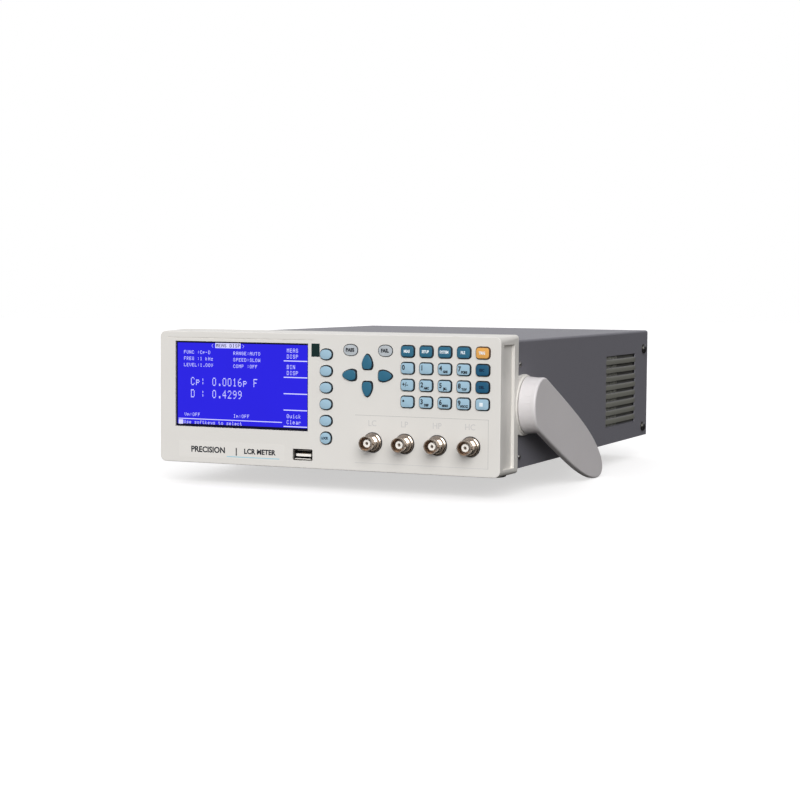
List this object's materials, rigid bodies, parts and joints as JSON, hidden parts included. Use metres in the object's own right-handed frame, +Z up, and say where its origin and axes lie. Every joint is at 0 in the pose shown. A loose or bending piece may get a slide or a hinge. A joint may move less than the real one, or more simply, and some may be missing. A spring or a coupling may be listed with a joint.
{
  "type": "lcr meter",
  "caption": "Bench LCR meter: plastic front bezel with display, keypad and four BNC terminals, louvred sheet-metal case, two swing arms, rubber feet.",
  "frame": {"origin": "under the middle of the meter's bounding box, on the surface that its feet stand on", "axes": "+Z up, +Y from the front panel to the rear panel, +X to the right seen from the front"},
  "size_m": [0.303, 0.4024, 0.1155],
  "materials": {
    "bezel_plastic": "fine moulded texture, satin",
    "arm_plastic": "fine moulded texture, satin",
    "case_paint": "fine textured powder coat",
    "light_key": "satin key cap",
    "teal_key": "satin key cap",
    "blue_key": "satin key cap",
    "orange_key": "satin key cap",
    "screen_glass": "clear window over a blue liquid-crystal screen",
    "display_frame": "pressed frame",
    "lamp_lens": "frosted lens",
    "nickel": "bright nickel plate",
    "steel": "plated steel",
    "screw_steel": "zinc-plated steel",
    "black_plastic": "satin",
    "rubber": "matt",
    "board": "solder mask",
    "core": "varnished laminations"
  },
  "bodies": {
    "root": {"front_bezel": "bezel_plastic", "display_window": "screen_glass", "display_module": "display_frame", "pass_lamp": "lamp_lens", "fail_lamp": "lamp_lens", "usb_socket": "steel", "cover": "case_paint", "base_chassis": "case_paint", "rear_panel": "case_paint", "cover_screws_right": "screw_steel", "cover_screws_left": "screw_steel", "foot_front_right": "rubber", "foot_front_left": "rubber", "foot_rear_right": "rubber", "foot_rear_left": "rubber", "power_inlet": "black_plastic", "serial_port": "steel", "earth_terminal": "nickel", "key_board": "board", "main_board": "board", "transformer": "core", "test_socket_1": "nickel", "test_socket_2": "nickel", "test_socket_3": "nickel", "test_socket_4": "nickel"},
    "soft_key_1": {"soft_key_1": "light_key"},
    "soft_key_2": {"soft_key_2": "light_key"},
    "soft_key_3": {"soft_key_3": "light_key"},
    "soft_key_4": {"soft_key_4": "light_key"},
    "soft_key_5": {"soft_key_5": "light_key"},
    "lock_key": {"lock_key": "light_key"},
    "arrow_right": {"arrow_right": "teal_key"},
    "arrow_up": {"arrow_up": "teal_key"},
    "arrow_left": {"arrow_left": "teal_key"},
    "arrow_down": {"arrow_down": "teal_key"},
    "key_meas": {"key_meas": "teal_key"},
    "key_setup": {"key_setup": "teal_key"},
    "key_system": {"key_system": "teal_key"},
    "key_file": {"key_file": "teal_key"},
    "key_trigger": {"key_trigger": "orange_key"},
    "key_0": {"key_0": "light_key"},
    "key_1": {"key_1": "light_key"},
    "key_4": {"key_4": "light_key"},
    "key_7": {"key_7": "light_key"},
    "key_escape": {"key_escape": "blue_key"},
    "key_sign": {"key_sign": "light_key"},
    "key_2": {"key_2": "light_key"},
    "key_5": {"key_5": "light_key"},
    "key_8": {"key_8": "light_key"},
    "key_backspace": {"key_backspace": "blue_key"},
    "key_point": {"key_point": "light_key"},
    "key_3": {"key_3": "light_key"},
    "key_6": {"key_6": "light_key"},
    "key_9": {"key_9": "light_key"},
    "key_enter": {"key_enter": "light_key"},
    "power_rocker": {"power_rocker": "black_plastic"},
    "arm_right": {"arm_right": "arm_plastic", "pivot_screw_right": "screw_steel"},
    "arm_left": {"arm_left": "arm_plastic", "pivot_screw_left": "screw_steel"}
  },
  "joints": [
    {"name": "soft_key_1_press", "type": "slide", "parent": "root", "child": "soft_key_1", "axis": [0, 1, 0], "range_m": [0, 0.0012], "stiffness_N_per_m": 1000},
    {"name": "soft_key_2_press", "type": "slide", "parent": "root", "child": "soft_key_2", "axis": [0, 1, 0], "range_m": [0, 0.0012], "stiffness_N_per_m": 1000},
    {"name": "soft_key_3_press", "type": "slide", "parent": "root", "child": "soft_key_3", "axis": [0, 1, 0], "range_m": [0, 0.0012], "stiffness_N_per_m": 1000},
    {"name": "soft_key_4_press", "type": "slide", "parent": "root", "child": "soft_key_4", "axis": [0, 1, 0], "range_m": [0, 0.0012], "stiffness_N_per_m": 1000},
    {"name": "soft_key_5_press", "type": "slide", "parent": "root", "child": "soft_key_5", "axis": [0, 1, 0], "range_m": [0, 0.0012], "stiffness_N_per_m": 1000},
    {"name": "lock_key_press", "type": "slide", "parent": "root", "child": "lock_key", "axis": [0, 1, 0], "range_m": [0, 0.0012], "stiffness_N_per_m": 1000},
    {"name": "arrow_right_press", "type": "slide", "parent": "root", "child": "arrow_right", "axis": [0, 1, 0], "range_m": [0, 0.0012], "stiffness_N_per_m": 1000},
    {"name": "arrow_up_press", "type": "slide", "parent": "root", "child": "arrow_up", "axis": [0, 1, 0], "range_m": [0, 0.0012], "stiffness_N_per_m": 1000},
    {"name": "arrow_left_press", "type": "slide", "parent": "root", "child": "arrow_left", "axis": [0, 1, 0], "range_m": [0, 0.0012], "stiffness_N_per_m": 1000},
    {"name": "arrow_down_press", "type": "slide", "parent": "root", "child": "arrow_down", "axis": [0, 1, 0], "range_m": [0, 0.0012], "stiffness_N_per_m": 1000},
    {"name": "key_meas_press", "type": "slide", "parent": "root", "child": "key_meas", "axis": [0, 1, 0], "range_m": [0, 0.0012], "stiffness_N_per_m": 1000},
    {"name": "key_setup_press", "type": "slide", "parent": "root", "child": "key_setup", "axis": [0, 1, 0], "range_m": [0, 0.0012], "stiffness_N_per_m": 1000},
    {"name": "key_system_press", "type": "slide", "parent": "root", "child": "key_system", "axis": [0, 1, 0], "range_m": [0, 0.0012], "stiffness_N_per_m": 1000},
    {"name": "key_file_press", "type": "slide", "parent": "root", "child": "key_file", "axis": [0, 1, 0], "range_m": [0, 0.0012], "stiffness_N_per_m": 1000},
    {"name": "key_trigger_press", "type": "slide", "parent": "root", "child": "key_trigger", "axis": [0, 1, 0], "range_m": [0, 0.0012], "stiffness_N_per_m": 1000},
    {"name": "key_0_press", "type": "slide", "parent": "root", "child": "key_0", "axis": [0, 1, 0], "range_m": [0, 0.0012], "stiffness_N_per_m": 1000},
    {"name": "key_1_press", "type": "slide", "parent": "root", "child": "key_1", "axis": [0, 1, 0], "range_m": [0, 0.0012], "stiffness_N_per_m": 1000},
    {"name": "key_4_press", "type": "slide", "parent": "root", "child": "key_4", "axis": [0, 1, 0], "range_m": [0, 0.0012], "stiffness_N_per_m": 1000},
    {"name": "key_7_press", "type": "slide", "parent": "root", "child": "key_7", "axis": [0, 1, 0], "range_m": [0, 0.0012], "stiffness_N_per_m": 1000},
    {"name": "key_escape_press", "type": "slide", "parent": "root", "child": "key_escape", "axis": [0, 1, 0], "range_m": [0, 0.0012], "stiffness_N_per_m": 1000},
    {"name": "key_sign_press", "type": "slide", "parent": "root", "child": "key_sign", "axis": [0, 1, 0], "range_m": [0, 0.0012], "stiffness_N_per_m": 1000},
    {"name": "key_2_press", "type": "slide", "parent": "root", "child": "key_2", "axis": [0, 1, 0], "range_m": [0, 0.0012], "stiffness_N_per_m": 1000},
    {"name": "key_5_press", "type": "slide", "parent": "root", "child": "key_5", "axis": [0, 1, 0], "range_m": [0, 0.0012], "stiffness_N_per_m": 1000},
    {"name": "key_8_press", "type": "slide", "parent": "root", "child": "key_8", "axis": [0, 1, 0], "range_m": [0, 0.0012], "stiffness_N_per_m": 1000},
    {"name": "key_backspace_press", "type": "slide", "parent": "root", "child": "key_backspace", "axis": [0, 1, 0], "range_m": [0, 0.0012], "stiffness_N_per_m": 1000},
    {"name": "key_point_press", "type": "slide", "parent": "root", "child": "key_point", "axis": [0, 1, 0], "range_m": [0, 0.0012], "stiffness_N_per_m": 1000},
    {"name": "key_3_press", "type": "slide", "parent": "root", "child": "key_3", "axis": [0, 1, 0], "range_m": [0, 0.0012], "stiffness_N_per_m": 1000},
    {"name": "key_6_press", "type": "slide", "parent": "root", "child": "key_6", "axis": [0, 1, 0], "range_m": [0, 0.0012], "stiffness_N_per_m": 1000},
    {"name": "key_9_press", "type": "slide", "parent": "root", "child": "key_9", "axis": [0, 1, 0], "range_m": [0, 0.0012], "stiffness_N_per_m": 1000},
    {"name": "key_enter_press", "type": "slide", "parent": "root", "child": "key_enter", "axis": [0, 1, 0], "range_m": [0, 0.0012], "stiffness_N_per_m": 1000},
    {"name": "power_rocker_tilt", "type": "hinge", "parent": "root", "child": "power_rocker", "pos_m": [-0.1085, 0.18805, 0.0545], "axis": [1, 0, 0], "range_deg": [0, 16]},
    {"name": "arm_right_swing", "type": "hinge", "parent": "root", "child": "arm_right", "pos_m": [0.1387, -0.13745, 0.0646], "axis": [1, 0, 0], "range_deg": [0, 225]},
    {"name": "arm_left_swing", "type": "hinge", "parent": "root", "child": "arm_left", "pos_m": [-0.1387, -0.13745, 0.0646], "axis": [1, 0, 0], "range_deg": [0, 225]}
  ]
}
